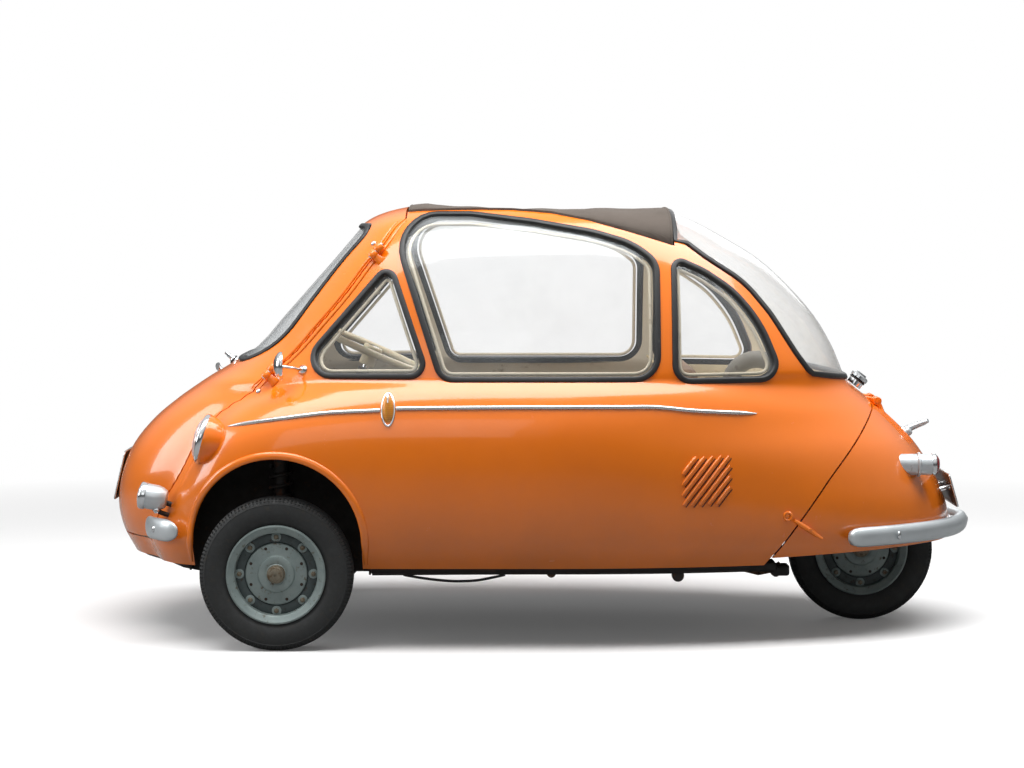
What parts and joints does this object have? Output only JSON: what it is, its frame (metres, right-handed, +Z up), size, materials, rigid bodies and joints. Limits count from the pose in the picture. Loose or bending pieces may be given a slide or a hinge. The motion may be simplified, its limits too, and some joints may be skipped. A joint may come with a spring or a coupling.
{
  "type": "bubble car",
  "caption": "Three-wheeled bubble car with a side-hinged front door, lift-up tail, clear rear dome and fabric roof; steers and rolls on its wheels.",
  "frame": {"origin": "on the ground, under the middle of the car's overall length and width", "axes": "+X points forward, +Y to the car's left, +Z up"},
  "size_m": [2.6419, 1.3912, 1.295],
  "materials": {
    "orange_paint": "gloss paint, slightly worn",
    "black_steel": "underbody black with dust and rust",
    "beige_trim": "worn beige trim",
    "grey_fabric": "grey coated roof fabric",
    "clear_plastic": "clear moulded acrylic",
    "glass": "clear glass",
    "black_rubber": "matt black rubber",
    "aluminium_trim": "dented bright strip",
    "amber_lens": "amber lens in a bright frame",
    "chrome": "chrome, a little pitted",
    "silver_paint": "silver paint",
    "wheel_paint": "blue-grey wheel paint with rust",
    "cream_plastic": "cream plastic",
    "cast_metal": "bare cast metal",
    "grey_rubber": "grey corrugated hose",
    "plate_black": "blank plate with pale edge",
    "tyre": "black tyre"
  },
  "bodies": {
    "body": {"body_left": "orange_paint", "body_right": "orange_paint", "floor_pan": "black_steel", "wheel_housings": "black_steel", "rear_bulkhead": "beige_trim", "fabric_roof": "grey_fabric", "rear_dome": "clear_plastic", "dome_seal": "black_rubber", "side_windows": "glass", "window_seals": "black_rubber", "side_trim": "aluminium_trim", "side_indicators": "amber_lens", "headlamps": "chrome", "auxiliary_lamps": "silver_paint", "front_bumpers": "silver_paint", "fuel_cap": "chrome", "hinge_brackets": "orange_paint", "mirror": "chrome", "steering_column": "cream_plastic", "seat_cushion": "beige_trim", "seat_backrest": "beige_trim", "engine": "cast_metal", "swing_arm": "cast_metal", "front_suspension": "black_steel", "brake_cable": "black_rubber", "air_hose": "grey_rubber"},
    "front_door": {"door_panel": "orange_paint", "windscreen": "glass", "windscreen_seal": "black_rubber", "front_plate": "plate_black", "door_fittings": "chrome"},
    "tail": {"tail_panel": "orange_paint", "rear_bumper": "silver_paint", "tail_lamps": "silver_paint", "rear_plate": "plate_black", "tail_fittings": "orange_paint"},
    "left_knuckle": {"knuckle_left": "black_steel"},
    "right_knuckle": {"knuckle_right": "black_steel"},
    "front_left_wheel": {"tyre_front_left": "tyre", "rim_front_left": "wheel_paint"},
    "front_right_wheel": {"tyre_front_right": "tyre", "rim_front_right": "wheel_paint"},
    "rear_wheel": {"tyre_rear": "tyre", "rim_rear": "wheel_paint"},
    "steering_wheel": {"steering_wheel": "cream_plastic"}
  },
  "joints": [
    {"name": "front_door_hinge", "type": "hinge", "parent": "body", "child": "front_door", "pos_m": [0.845, 0.525, 0.755], "axis": [-0.6568, -0.1214, 0.7442], "range_deg": [0, 75]},
    {"name": "tail_hinge", "type": "hinge", "parent": "body", "child": "tail", "pos_m": [-1.026, 0, 0.686], "axis": [0, 1, 0], "range_deg": [0, 65]},
    {"name": "left_steer", "type": "hinge", "parent": "body", "child": "left_knuckle", "pos_m": [0.778, 0.54, 0.222], "axis": [0, 0, 1], "range_deg": [-30, 30]},
    {"name": "right_steer", "type": "hinge", "parent": "body", "child": "right_knuckle", "pos_m": [0.778, -0.54, 0.222], "axis": [0, 0, 1], "range_deg": [-30, 30]},
    {"name": "steering_wheel_turn", "type": "hinge", "parent": "body", "child": "steering_wheel", "pos_m": [0.52, 0.215, 0.85], "axis": [-0.4021, 0, 0.9156], "range_deg": [-330, 330]},
    {"name": "front_left_roll", "type": "hinge", "parent": "left_knuckle", "child": "front_left_wheel", "pos_m": [0.778, 0.61, 0.222], "axis": [0, 1, 0], "continuous": true},
    {"name": "front_right_roll", "type": "hinge", "parent": "right_knuckle", "child": "front_right_wheel", "pos_m": [0.778, -0.61, 0.222], "axis": [0, 1, 0], "continuous": true},
    {"name": "rear_roll", "type": "hinge", "parent": "body", "child": "rear_wheel", "pos_m": [-0.987, 0, 0.222], "axis": [0, 1, 0], "continuous": true}
  ],
  "couplings": [
    {"joint": "right_steer", "follows": "left_steer", "ratio": 1},
    {"joint": "steering_wheel_turn", "follows": "left_steer", "ratio": 11}
  ]
}
